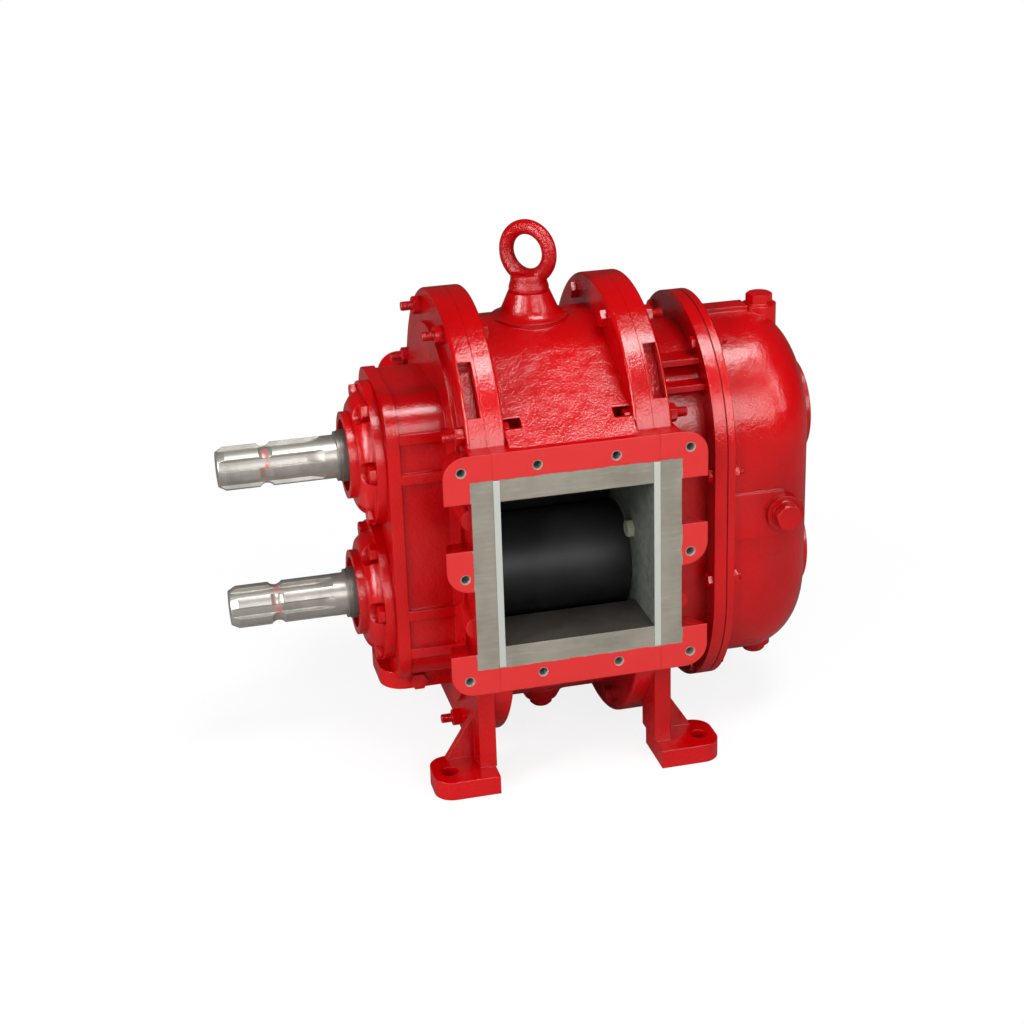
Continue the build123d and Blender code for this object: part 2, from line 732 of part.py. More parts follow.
with BuildPart() as gear_cover:
    with BuildSketch(across(cover_flange_start)):
        SlotCenterToCenter(shaft_centres, 2 * gear_cover_radius, rotation=90)
    extrude(amount=gear_cover_end - cover_flange_start)
    fillet(gear_cover.faces().sort_by(Axis.X)[-1].edges(), gear_cover_round)
    with BuildSketch(across(cover_flange_start)):
        SlotCenterToCenter(shaft_centres, 2 * gear_flange_radius, rotation=90)
    extrude(amount=case_flange_thickness)
    with BuildSketch(across(gear_cover_end - gear_cover_wall)):
        with Locations((0, half_centres), (0, -half_centres)):
            Circle(end_boss_radius)
    extrude(amount=gear_cover_wall + end_boss_height)
    # crown and sump ribs
    for half in (-1, 1):
        with BuildSketch(Plane.XY.offset(centre_height + half * (half_centres + gear_cover_radius / 2))):
            with Locations(((cover_flange_start + crown_rib_end) / 2, 0)):
                Rectangle(crown_rib_end - cover_flange_start, 2 * crown_rib_half_width)
        extrude(amount=half * (crown_rib_top - half_centres - gear_cover_radius / 2))
    with BuildSketch(Plane.XY.offset(centre_height + half_centres + gear_cover_radius / 2)):
        with Locations((plug_x, 0)):
            Circle(fill_boss_radius)
    extrude(amount=fill_boss_top - half_centres - gear_cover_radius / 2)
    with BuildSketch(Plane.XY.offset(centre_height - half_centres - gear_cover_radius / 2)):
        with Locations((plug_x, 0)):
            Circle(drain_boss_radius)
    extrude(amount=-(drain_boss_bottom - half_centres - gear_cover_radius / 2))
    # level pad and boss on the port side
    with BuildSketch(port_plane(gear_cover_radius / 2)):
        with Locations(((cover_flange_start + level_x) / 2, level_height)):
            Rectangle(level_x - cover_flange_start, 2 * level_pad_half_height)
    extrude(amount=level_pad_face - gear_cover_radius / 2)
    with BuildSketch(port_plane(gear_cover_radius / 2)):
        with Locations((level_x, level_height)):
            Circle(level_boss_radius)
    extrude(amount=level_boss_face - gear_cover_radius / 2)
    add(cavity.part, mode=Mode.SUBTRACT)
    with BuildSketch(across(cover_flange_start)):
        with Locations(*gear_bolt_places):
            Circle((small_thread + hole_clearance) / 2)
    extrude(amount=case_flange_thickness, mode=Mode.SUBTRACT)
    with Locations(Location((plug_x, 0, centre_height + fill_boss_top))):
        Hole(plug_thread / 2, depth=plug_bore_depth)
    with Locations(Location((plug_x, 0, centre_height - drain_boss_bottom), (180, 0, 0))):
        Hole(plug_thread / 2, depth=plug_bore_depth)
    with Locations(Location((level_x, -level_boss_face, centre_height + level_height), (90, 0, 0))):
        Hole(plug_thread / 2, depth=plug_bore_depth)
finish(gear_cover, "gear_case_cover")

with BuildPart() as gasket:
    with BuildSketch(across(gear_flange_end)):
        SlotCenterToCenter(shaft_centres, 2 * gear_flange_radius - 2 * gasket_thickness, rotation=90)
        SlotCenterToCenter(shaft_centres, 2 * (gear_cover_radius - gear_cover_wall), rotation=90,
                           mode=Mode.SUBTRACT)
        with Locations(*gear_bolt_places):
            Circle((small_thread + hole_clearance) / 2, mode=Mode.SUBTRACT)
    extrude(amount=gasket_thickness)
finish(gasket, "gear_case_gasket")


def screw_plug(seat, flats, head, thread, length):
    """Hex plug on a plane that faces out of its boss: collar, hexagon and threaded stem."""
    with BuildPart() as plug:
        with BuildSketch(seat):
            Circle(flats / 2 + plug_collar_margin)
        extrude(amount=plug_collar)
        with BuildSketch(seat.offset(plug_collar)):
            hexagon(flats)
        extrude(amount=head)
        with BuildSketch(seat):
            Circle(thread / 2 - press_gap)
        extrude(amount=-length)
    return plug


fill_seat = Plane(origin=(plug_x, 0, centre_height + fill_boss_top), x_dir=(1, 0, 0), z_dir=(0, 0, 1))
drain_seat = Plane(origin=(plug_x, 0, centre_height - drain_boss_bottom), x_dir=(1, 0, 0), z_dir=(0, 0, -1))
level_seat = Plane(origin=(level_x, -level_boss_face, centre_height + level_height), x_dir=(1, 0, 0),
                   z_dir=(0, -1, 0))
for name, seat, flats, head in (
        ("fill", fill_seat, fill_plug_flats, fill_plug_head),
        ("drain", drain_seat, drain_plug_flats, drain_plug_head),
        ("level", level_seat, level_plug_flats, level_plug_head)):
    finish(screw_plug(seat, flats, head, plug_thread, plug_stem), f"oil_{name}_plug")
finish(screw_plug(plate_plug_seat, plate_plug_flats, plate_plug_head, plate_plug_thread, plate_plug_depth),
       "support_plate_plug")

# ---- lifting eye and casing drain plug ---------------------------------------------------------------------
eye_seat = centre_height + eye_seat_height
eye_centre = centre_height + eye_ring_height
with BuildPart() as lifting_eye:
    ring_plane = Plane(origin=(0, 0, eye_centre), z_dir=(sin(radians(eye_turn)), -cos(radians(eye_turn)), 0),
                       x_dir=(cos(radians(eye_turn)), sin(radians(eye_turn)), 0))
    with Locations(ring_plane.location):
        Torus(eye_ring_radius, eye_ring_section)
    with BuildSketch(Plane.XY.offset(eye_seat)):
        Circle(eye_collar_radius)
    with BuildSketch(Plane.XY.offset(eye_centre - eye_ring_radius)):
        Circle(eye_neck_radius)
    loft()
    with BuildSketch(Plane.XY.offset(eye_seat)):
        Circle(eye_shank / 2 - press_gap)
    extrude(amount=-eye_shank_length)
finish(lifting_eye, "lifting_eye")

with BuildPart() as spout_plug:
    with BuildSketch(Plane.XY.offset(centre_height - spout_bottom)):
        Circle(spout_plug_radius)
    extrude(amount=-spout_plug_head)
    chamfer(spout_plug.faces().sort_by(Axis.Z)[0].edges(), spout_plug_head / 4)
    with BuildSketch(Plane.XY.offset(centre_height - spout_bottom)):
        Circle(plug_thread / 2 - press_gap)
    extrude(amount=spout_plug_bore - 1)
finish(spout_plug, "casing_drain_plug")

# ---- shafts ------------------------------------------------------------------------------------------------
shaft_tail_end = nut_end + shaft_tail


def spline_gap_cutter(height, turn):
    """The gaps between the spline teeth, running out on an arc toward the collar."""
    outside = spline_major / 2 + 1
    floor = spline_root / 2
    full = -shaft_end + spline_full_length
    with BuildPart() as cutter:
        with BuildSketch(shaft_plane(-shaft_end - 1, height, turn)):
            Circle(outside)
            Circle(floor, mode=Mode.SUBTRACT)
            with PolarLocations(outside / 2, spline_teeth):
                Rectangle(outside + 2, spline_tooth_width, mode=Mode.SUBTRACT)
        extrude(amount=spline_full_length + spline_run_out + 1)
        with BuildSketch(axial_plane(height)):
            with BuildLine():
                Polyline((full, floor), (-shaft_end - 1, floor), (-shaft_end - 1, outside),
                         (full + spline_run_out, outside))
                TangentArc((full, floor), (full + spline_run_out, outside), tangent=(1, 0))
            make_face()
        revolve(axis=shaft_axis(height), mode=Mode.INTERSECT)
    return cutter


def key_seat(start, length, radius, height, turn):
    """A key lying along local y of the turned shaft plane."""
    with BuildPart() as key:
        with BuildSketch(shaft_plane(start, height, turn)):
            with Locations((0, radius - key_depth + key_height / 2)):
                Rectangle(key_width - 2 * press_gap, key_height - 2 * press_gap)
        extrude(amount=length)
    return key


def shaft_piece(height, turn, cutter):
    with BuildPart() as shaft:
        with BuildSketch(axial_plane(height)):
            with BuildLine():
                Polyline(
                    (-shaft_end, 0), (-shaft_end, spline_major / 2 - spline_chamfer_height),
                    (-shaft_end + spline_chamfer_length, spline_major / 2), (-collar_start, spline_major / 2),
                    (-collar_start, collar_diameter / 2), (-seal_seat_start, collar_diameter / 2),
                    (-seal_seat_start, seal_seat_diameter / 2), (-bearing_end, seal_seat_diameter / 2),
                    (-bearing_end, bearing_bore / 2), (-bearing_start, bearing_bore / 2),
                    (-bearing_start, shaft_body_diameter / 2), (bearing_start, shaft_body_diameter / 2),
                    (bearing_start, bearing_bore / 2), (bearing_end, bearing_bore / 2),
                    (bearing_end, gear_seat_diameter / 2), (gear_end, gear_seat_diameter / 2),
                    (gear_end, nut_seat_diameter / 2), (shaft_tail_end, nut_seat_diameter / 2),
                    (shaft_tail_end, 0), close=True)
            make_face()
        revolve(axis=shaft_axis(height))
        add(cutter.part, mode=Mode.SUBTRACT)
        with BuildSketch(axial_plane(height)):
            with Locations((-shaft_end + lock_groove_place, lock_groove_bottom / 2 + lock_groove_radius)):
                Circle(lock_groove_radius)
        revolve(axis=shaft_axis(height), mode=Mode.SUBTRACT)
        for start, length, radius in (
                (-rotor_key_length / 2, rotor_key_length, shaft_body_diameter / 2),
                (gear_start, gear_key_length, gear_seat_diameter / 2)):
            with BuildSketch(shaft_plane(start, height, turn)):
                with Locations((0, radius)):
                    Rectangle(key_width, 2 * key_depth)
            extrude(amount=length, mode=Mode.SUBTRACT)
    return shaft


# ---- rotors ------------------------------------------------------------------------------------------------
# Straight two-lobe rotors. Each tip is an arc, and each waist is the envelope of the mating tip as the
# two turn at equal and opposite speed, so the pair rolls without touching.
tip_centre = (rotor_radius ** 2 - half_centres ** 2) / (2 * (rotor_radius - half_centres * cos(pi / 4)))
tip_radius = rotor_radius - tip_centre


def waist_point(angle):
    """Point of the waist for one angle between the mating rotor and its square position."""
    turn = radians(angle)
    path_x = shaft_centres * sin(turn) - tip_centre * sin(2 * turn)
    path_y = shaft_centres * cos(turn) - tip_centre * cos(2 * turn)
    run_x = shaft_centres * cos(turn) - 2 * tip_centre * cos(2 * turn)
    run_y = -shaft_centres * sin(turn) + 2 * tip_centre * sin(2 * turn)
    length = hypot(run_x, run_y)
    reach = tip_radius + rotor_mesh_gap / 2
    return (path_x + reach * run_y / length, path_y - reach * run_x / length)


def rotor_piece(height, turn):
    half_length = chamber_end - rotor_end_gap
    tip = tip_radius - rotor_mesh_gap / 2
    with BuildPart() as rotor:
        with BuildSketch(shaft_plane(-half_length, height, turn)):
            with BuildLine():
                waist = [waist_point(angle) for angle in range(-45, 46, 9)]
                Spline(*waist)
                ThreePointArc(waist[-1], (tip_centre + tip, 0), (waist[-1][0], -waist[-1][1]))
                Spline(*[(-x, -y) for x, y in waist])
                ThreePointArc((-waist[-1][0], -waist[-1][1]), (-tip_centre - tip, 0),
                              (-waist[-1][0], waist[-1][1]))
            make_face()
            Circle(shaft_body_diameter / 2 + press_gap, mode=Mode.SUBTRACT)
            with Locations((0, shaft_body_diameter / 2 - key_depth + key_height / 2)):
                Rectangle(key_width, key_height, mode=Mode.SUBTRACT)
        extrude(amount=2 * half_length)
    return rotor


# ---- timing gears ------------------------------------------------------------------------------------------
def involute_point(radius, base_radius, half_angle, side):
    """Point of a tooth flank at a radius, on one side of the tooth's centre line."""
    pressure = 0 if radius <= base_radius else sqrt((radius / base_radius) ** 2 - 1)
    roll = pressure - atan2(pressure, 1)
    angle = side * (half_angle - roll)
    return (radius * cos(angle), radius * sin(angle))


def timing_gear(height, phase, turn):
    pitch_radius = half_centres
    base_radius = pitch_radius * cos(radians(gear_pressure_angle))
    tip = pitch_radius + gear_addendum * gear_module
    root = pitch_radius - gear_dedendum * gear_module
    pitch_pressure = sqrt((pitch_radius / base_radius) ** 2 - 1)
    pitch_roll = pitch_pressure - atan2(pitch_pressure, 1)
    thickness = pi * gear_module / 2 - gear_backlash
    half_angle = thickness / (2 * pitch_radius) + pitch_roll
    flank = [root, pitch_radius, (pitch_radius + tip) / 2, tip]
    tooth = [involute_point(radius, base_radius, half_angle, -1) for radius in flank]
    tooth += [involute_point(radius, base_radius, half_angle, 1) for radius in reversed(flank)]
    with BuildPart() as gear:
        with BuildSketch(shaft_plane(gear_start, height, phase)):
            with BuildLine():
                outline = []
                for k in range(gear_teeth):
                    spin = 2 * pi * k / gear_teeth
                    outline += [(x * cos(spin) - y * sin(spin), x * sin(spin) + y * cos(spin))
                                for x, y in tooth]
                Polyline(*outline, close=True)
            make_face()
        extrude(amount=gear_width)
        with BuildSketch(shaft_plane(gear_start, height, turn)):
            Circle(gear_seat_diameter / 2 + press_gap)
            with Locations((0, gear_seat_diameter / 2 - key_depth + key_height / 2)):
                Rectangle(key_width, key_height)
        extrude(amount=gear_width, mode=Mode.SUBTRACT)
    return gear


def ring_piece(height, start, end, inner, outer):
    """A plain ring round one shaft between two places along it."""
    with BuildPart() as ring:
        with BuildSketch(across(start)):
            with Locations((0, height - centre_height)):
                Circle(outer)
                Circle(inner, mode=Mode.SUBTRACT)
        extrude(amount=end - start)
    return ring


gear_phases = {"upper": 0.0, "lower": 180.0 / gear_teeth}
race_gap = bearing_running_gap
race_radius = bearing_outside / 2 - bearing_race
for name, height in shaft_heights.items():
    turn = shaft_turns[name]
    finish(shaft_piece(height, turn, spline_gap_cutter(height, turn)), f"{name}_shaft")
    finish(rotor_piece(height, turn), f"{name}_rotor")
    finish(key_seat(-rotor_key_length / 2, rotor_key_length, shaft_body_diameter / 2, height, turn),
           f"{name}_rotor_key")
    finish(key_seat(gear_start, gear_key_length, gear_seat_diameter / 2, height, turn), f"{name}_gear_key")
    finish(timing_gear(height, gear_phases[name], turn), f"{name}_timing_gear")
    finish(ring_piece(height, gear_end, nut_end, nut_seat_diameter / 2 + press_gap, nut_radius),
           f"{name}_shaft_nut")
    finish(ring_piece(height, bearing_end, gear_start, gear_seat_diameter / 2 + press_gap, spacer_radius),
           f"{name}_gear_spacer")
    for end, way in (("drive", -1), ("gear", 1)):
        near, far = sorted((way * bearing_start, way * bearing_end))
        finish(ring_piece(height, near, far, race_radius + race_gap, bearing_outside / 2),
               f"{name}_{end}_outer_race")
        finish(ring_piece(height, near, far, bearing_bore / 2 + press_gap, race_radius),
               f"{name}_{end}_inner_race")
        near, far = sorted((way * seam_x, way * (seam_x + seal_seat_thickness)))
        finish(ring_piece(height, near, far, shaft_body_diameter / 2 + seal_seat_bore_gap, seal_bore_radius),
               f"{name}_{end}_seal_seat")
        near, far = sorted((way * (seam_x + seal_seat_thickness + seal_ring_end_gap), way * bearing_start))
        finish(ring_piece(height, near, far, shaft_body_diameter / 2 + press_gap, seal_ring_radius),
               f"{name}_{end}_seal_ring")
    finish(ring_piece(height, -lip_seal_start - lip_seal_width, -lip_seal_start,
                      seal_seat_diameter / 2 + running_gap, lip_seal_radius), f"{name}_lip_seal")
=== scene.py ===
import json
import math
import bmesh
import bpy
from mathutils import Matrix, Vector


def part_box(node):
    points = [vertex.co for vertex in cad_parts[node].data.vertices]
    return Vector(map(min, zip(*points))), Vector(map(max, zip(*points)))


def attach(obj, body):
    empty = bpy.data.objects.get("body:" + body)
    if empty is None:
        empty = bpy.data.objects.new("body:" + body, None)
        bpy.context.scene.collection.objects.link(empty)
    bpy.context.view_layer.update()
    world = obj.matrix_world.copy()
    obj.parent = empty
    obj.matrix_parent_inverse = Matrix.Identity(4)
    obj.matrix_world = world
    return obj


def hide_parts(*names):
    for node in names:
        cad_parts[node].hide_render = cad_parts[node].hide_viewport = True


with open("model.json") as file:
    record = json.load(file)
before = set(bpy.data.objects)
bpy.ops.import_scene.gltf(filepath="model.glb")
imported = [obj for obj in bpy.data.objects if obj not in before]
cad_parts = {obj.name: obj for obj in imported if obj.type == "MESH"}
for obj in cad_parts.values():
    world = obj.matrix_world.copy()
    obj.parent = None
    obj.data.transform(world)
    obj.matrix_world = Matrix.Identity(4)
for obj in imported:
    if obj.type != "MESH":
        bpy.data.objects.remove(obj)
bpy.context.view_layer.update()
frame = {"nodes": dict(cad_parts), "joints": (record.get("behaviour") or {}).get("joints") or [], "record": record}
nodes = frame["nodes"]
scene = bpy.context.scene
print("frame: loaded", len(nodes), "nodes")


class Wire:  # a socket that can stand in a sum
    def __init__(self, finish, socket):
        self.finish, self.socket = finish, socket

    def math(self, kind, *terms):
        return self.finish.add("ShaderNodeMath", {"operation": kind}, dict(enumerate(terms)))

    def __add__(self, other):
        return self.math("ADD", self, other)

    def __sub__(self, other):
        return self.math("SUBTRACT", self, other)

    def __rsub__(self, other):
        return self.math("SUBTRACT", other, self)

    def __mul__(self, other):
        return self.math("MULTIPLY", self, other)

    def __abs__(self):
        return self.math("ABSOLUTE", self)

    def least(self, other):
        return self.math("MINIMUM", self, other)

    def most(self, other):
        return self.math("MAXIMUM", self, other)

    def reach(self, other):  # length of the pair as a vector
        return self.math("SQRT", self * self + other * other)

    def fade(self, start, end):  # 0 at start, 1 at end, smooth between
        return self.finish.add("ShaderNodeMapRange", {"interpolation_type": "SMOOTHSTEP"},
                               {"Value": self, "From Min": start, "From Max": end})

    __radd__ = __add__
    __rmul__ = __mul__


class Finish:  # one procedural material with its nodes
    def __init__(self, name):
        self.material = bpy.data.materials.new(name)
        self.material.use_nodes = True
        self.tree = self.material.node_tree
        self.tree.nodes.clear()
        self.out = self.tree.nodes.new("ShaderNodeOutputMaterial")
        self.spot = self.add("ShaderNodeTexCoord", output="Object")

    def add(self, kind, settings=None, sockets=None, output=0):
        node = self.tree.nodes.new(kind)
        for key, value in (settings or {}).items():
            setattr(node, key, value)
        for key, value in (sockets or {}).items():
            if isinstance(value, Wire):
                self.tree.links.new(value.socket, node.inputs[key])
            else:
                node.inputs[key].default_value = value
        return Wire(self, node.outputs[output])

    def axes(self):
        node = self.add("ShaderNodeSeparateXYZ", None, {0: self.spot}).socket.node
        return [Wire(self, node.outputs[k]) for k in range(3)]

    def noise(self, scale, detail=2.0, rough=0.5, stretch=None):
        vector = self.spot
        if stretch:
            vector = self.add("ShaderNodeMapping", None, {"Vector": self.spot, "Scale": stretch})
        return self.add("ShaderNodeTexNoise", None,
                        {"Vector": vector, "Scale": scale, "Detail": detail, "Roughness": rough})

    def mix(self, mask, under, over):  # colours, over where the mask is 1
        return self.add("ShaderNodeMix", {"data_type": "RGBA"}, {0: mask, 6: under, 7: over}, 2)

    def bump(self, height, distance, strength=1.0, normal=None):
        sockets = {"Height": height, "Distance": distance, "Strength": strength}
        if normal:
            sockets["Normal"] = normal
        return self.add("ShaderNodeBump", None, sockets)

    def rounding(self, radius):
        return self.add("ShaderNodeBevel", {"samples": 4}, {"Radius": radius})

    def principled(self, **values):
        names = {"color": "Base Color", "rough": "Roughness", "metal": "Metallic", "coat": "Coat Weight",
                 "coatRough": "Coat Roughness", "normal": "Normal", "specular": "Specular IOR Level"}
        shader = self.add("ShaderNodeBsdfPrincipled", None, {names[k]: v for k, v in values.items()})
        return self.surface(shader)

    def surface(self, shader):
        self.tree.links.new(shader.socket, self.out.inputs["Surface"])
        return self.material


def rgb(red, green, blue):  # a colour as seen, 0 to 255
    return tuple(((v / 255 + 0.055) / 1.055) ** 2.4 if v > 10 else v / 255 / 12.92
                 for v in (red, green, blue)) + (1.0,)


# painted castings: gloss enamel over sand-cast iron, with the port faces milled after painting; the lighter red of
# the port faces is painted light
castPaint = {"red": rgb(172, 0, 4), "deepRed": rgb(146, 0, 3), "faceRed": rgb(178, 6, 6), "cloudScale": 9.0,
             "rough": 0.13, "patchScale": 28.0, "patchRough": 0.1, "coat": 0.1, "coatRough": 0.08,
             "sandScale": 520.0, "sandDepth": 0.00034, "swellScale": 60.0, "swellDepth": 0.0012, "edge": 0.0013}
portFace = {"plane": 0.1354, "planeFade": 0.0003, "bareX": 0.0824, "bareZ": 0.0774, "bareFade": 0.0004,
            "wander": 0.0042, "milledDepth": 0.00025, "opening": 0.0604, "bore": 0.0848, "wallFade": 0.0003,
            "ends": (0.0656, 0.0652)}
portHole = {"barX": 0.0306, "lugX": 0.089, "rowZ": 0.086, "ring": 0.0041, "ringFade": 0.0003, "edge": 0.0034,
            "edgeFar": 0.0004, "edgeNear": 0.0001, "bottom": (0.112, 0.113), "sinkDepth": 0.0007,
            "pitchScale": 250.0, "pitchDepth": 0.0004}
# the colours for the chamber and bores are the bare iron made much darker: painted shade of the chamber
bareIron = {"color": rgb(143, 138, 126), "shade": rgb(124, 118, 106), "cut": rgb(176, 174, 166),
            "wall": rgb(56, 51, 46), "wallShade": rgb(40, 37, 34), "streak": 0.2, "metal": 0.55, "rough": 0.3,
            "blotRough": 0.08}
shaftHeights = sorted(joint["pos_m"][2] for joint in frame["joints"])
centreHeight = sum(shaftHeights) / 2
boreHeight = shaftHeights[1] - centreHeight


def castSkin(f, scale=1.0):  # the bump of sprayed enamel over the sand skin
    sand = f.noise(castPaint["sandScale"] * scale, detail=3.0, rough=0.55)
    swell = f.noise(castPaint["swellScale"] * scale, detail=1.0)
    edge = f.rounding(castPaint["edge"] / scale)
    rolling = f.bump(swell, castPaint["swellDepth"], 0.6, edge)
    return sand, rolling


def redTone(f):
    cloud = f.noise(castPaint["cloudScale"])
    return f.mix(cloud.fade(0.35, 0.7), castPaint["red"], castPaint["deepRed"])


def paintFinish(name, scale=1.0, depth=1.0):
    f = Finish(name)
    sand, rolling = castSkin(f, scale)
    normal = f.bump(sand, castPaint["sandDepth"] * depth, normal=rolling)
    patch = f.noise(castPaint["patchScale"], detail=3.0)
    rough = patch.fade(0.2, 0.8) * castPaint["patchRough"] + castPaint["rough"]
    return f.principled(color=redTone(f), rough=rough, coat=castPaint["coat"], coatRough=castPaint["coatRough"],
                        normal=normal)


def housingFinish(name):
    f = Finish(name)
    x, y, z = f.axes()
    ax, ay, az = abs(x), abs(y), abs(z - centreHeight)
    face = ay.fade(portFace["plane"], portFace["plane"] + portFace["planeFade"])
    wander = (f.noise(75.0, detail=6.0, rough=0.7) - 0.5) * portFace["wander"]
    inX = (ax + wander).fade(portFace["bareX"] + portFace["bareFade"], portFace["bareX"])
    inZ = (az + wander).fade(portFace["bareZ"] + portFace["bareFade"], portFace["bareZ"])
    bare = face * inX * inZ
    barHoles = (ax - portHole["barX"]).reach(az - portHole["rowZ"])
    cornerHoles = (ax - portHole["lugX"]).reach(az - portHole["rowZ"])
    lugHoles = (ax - portHole["lugX"]).reach(az)
    holes = barHoles.least(cornerHoles).least(lugHoles)
    ring = face * holes.fade(portHole["ring"], portHole["ring"] - portHole["ringFade"])
    hole = holes.fade(portHole["edge"] + portHole["edgeFar"], portHole["edge"] + portHole["edgeNear"])
    thread = hole * ay.fade(*portHole["bottom"])
    inEnds = ax.fade(*portFace["ends"])
    opening, bore = portFace["opening"], portFace["bore"]
    walls = az.fade(opening + portFace["wallFade"], opening) * inEnds * (1 - face)
    bores = y.reach(az - boreHeight).fade(bore + portFace["wallFade"], bore) * inEnds
    shadedInside = walls.most(bores)
    metal = bare.most(ring).most(thread)
    streak = f.noise(40.0, detail=4.0, rough=0.6, stretch=(1.0, 1.0, 9.0))
    blot = f.noise(22.0, detail=3.0, rough=0.6)
    iron = f.mix(blot.fade(0.3, 0.75), bareIron["color"], bareIron["shade"])
    iron = f.mix(streak.fade(0.45, 0.75) * bareIron["streak"], iron, bareIron["cut"])
    # the port faces get a lighter red: painted light on the faces toward the lamps
    paint = f.mix(face, redTone(f), castPaint["faceRed"])
    color = f.mix(bare, paint, iron)
    color = f.mix(ring.most(thread), color, bareIron["cut"])
    # the chamber and bores take the dark iron: painted shade of the chamber over the bare iron
    color = f.mix(shadedInside, color, f.mix(blot.fade(0.3, 0.8), bareIron["wall"], bareIron["wallShade"]))
    sand, rolling = castSkin(f)
    smooth = 1 - face.most(shadedInside)
    skin = f.bump(sand * (smooth * 0.9 + 0.1), castPaint["sandDepth"], normal=rolling)
    sink = ring * holes.fade(portHole["ring"], portHole["edge"]) * portHole["sinkDepth"]
    lip = f.bump(bare * -portFace["milledDepth"] - sink, 1.0, normal=skin)  # the height is in metres here
    pitch = f.add("ShaderNodeTexWave", {"bands_direction": "Y"},
                  {"Vector": f.spot, "Scale": portHole["pitchScale"]})
    normal = f.bump(pitch * thread, portHole["pitchDepth"], normal=lip)
    worn = bareIron["rough"]
    rough = castPaint["rough"] + metal * worn + shadedInside * worn + face * worn + blot * bareIron["blotRough"]
    return f.principled(color=color, rough=rough, metal=metal * bareIron["metal"],
                        coat=(1 - metal.most(shadedInside)) * castPaint["coat"], coatRough=castPaint["coatRough"],
                        normal=normal)


steel = {"shaft": rgb(182, 178, 171), "shade": rgb(138, 133, 126), "neck": rgb(104, 98, 92),
         "redTrace": rgb(176, 70, 72), "edge": 0.0005, "metal": 0.75, "rough": 0.27, "grooveAt": 0.038,
         "grooveFade": (0.0035, 0.001), "neckAt": (0.0935, 0.0955), "grindDepth": 0.00003}


def shaftFinish(name):  # ground and milled steel, with a trace of red in the locking groove
    f = Finish(name)
    x = f.axes()[0]
    rings = f.noise(900.0, stretch=(1.0, 0.02, 0.02))
    runs = f.noise(500.0, detail=3.0, rough=0.6, stretch=(0.02, 1.0, 1.0))
    stain = f.noise(45.0, detail=4.0, rough=0.65)
    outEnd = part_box("upper_shaft")[0].x
    groove = abs(x - (outEnd + steel["grooveAt"])).fade(*steel["grooveFade"])
    trace = groove * f.noise(90.0, detail=3.0).fade(0.52, 0.6)
    neck = x.fade(*(outEnd + at for at in steel["neckAt"]))
    color = f.mix(stain.fade(0.35, 0.75) * 0.7, steel["shaft"], steel["shade"])
    color = f.mix(neck * 0.75, color, steel["neck"])
    color = f.mix(trace * 0.8, color, steel["redTrace"])
    normal = f.bump(rings * 0.5 + runs * 0.5, steel["grindDepth"], 0.6, f.rounding(steel["edge"]))
    return f.principled(color=color, rough=steel["rough"] + stain * 0.16 + neck * 0.1,
                        metal=(1 - trace * 0.7) * steel["metal"], normal=normal)


def plainSteel(name, light, dark, rough, scale, stretch, depth, metal=1.0):
    f = Finish(name)
    grain = f.noise(scale, detail=3.0, rough=0.6, stretch=stretch)
    spots = f.noise(70.0, detail=4.0, rough=0.7)
    color = f.mix(spots.fade(0.35, 0.7), light, dark)
    normal = f.bump(grain, depth, 0.7, f.rounding(0.0004))
    return f.principled(color=color, rough=spots * 0.15 + rough, metal=metal, normal=normal)


plate = {"ground": rgb(206, 210, 202), "worked": rgb(118, 122, 114), "shade": rgb(80, 84, 78),
         "face": (0.1352, 0.1357), "grainDepth": 0.00005, "edge": 0.0004, "rough": 0.36, "metal": 0.45}


def plateFinish(name):  # hardened plate: bright ground edge in the port face, a darker face in the chamber, worn steel in part and painted shade of the chamber in part
    f = Finish(name)
    y = f.axes()[1]
    face = abs(y).fade(*plate["face"])
    grain = f.noise(260.0, detail=3.0, rough=0.6, stretch=(1.0, 1.0, 0.05))
    spots = f.noise(120.0, detail=5.0, rough=0.75)
    # the face in the chamber is darker: worn steel, and painted shade of the chamber
    plateFaceInShade = f.mix(spots.fade(0.3, 0.75), plate["worked"], plate["shade"])
    color = f.mix(face, plateFaceInShade, plate["ground"])
    normal = f.bump(grain, plate["grainDepth"], 0.7, f.rounding(plate["edge"]))
    return f.principled(color=color, rough=plate["rough"] + spots * 0.15, metal=plate["metal"] + face * 0.2,
                        normal=normal)


def rubberFinish(name, color, scuff, rough, scale):
    f = Finish(name)
    cloud = f.noise(18.0, detail=3.0, rough=0.6)
    grain = f.noise(scale, rough=0.6)
    lines = f.noise(160.0, detail=3.0, rough=0.6, stretch=(0.1, 1.0, 1.0))
    tone = f.mix(cloud.fade(0.35, 0.75) * 0.6 + lines.fade(0.6, 0.8) * 0.2, color, scuff)
    normal = f.bump(grain * 0.7 + lines * 0.3, 0.00008, 0.7, f.rounding(0.0008))
    return f.principled(color=tone, rough=cloud * 0.15 + rough, normal=normal, specular=0.4)


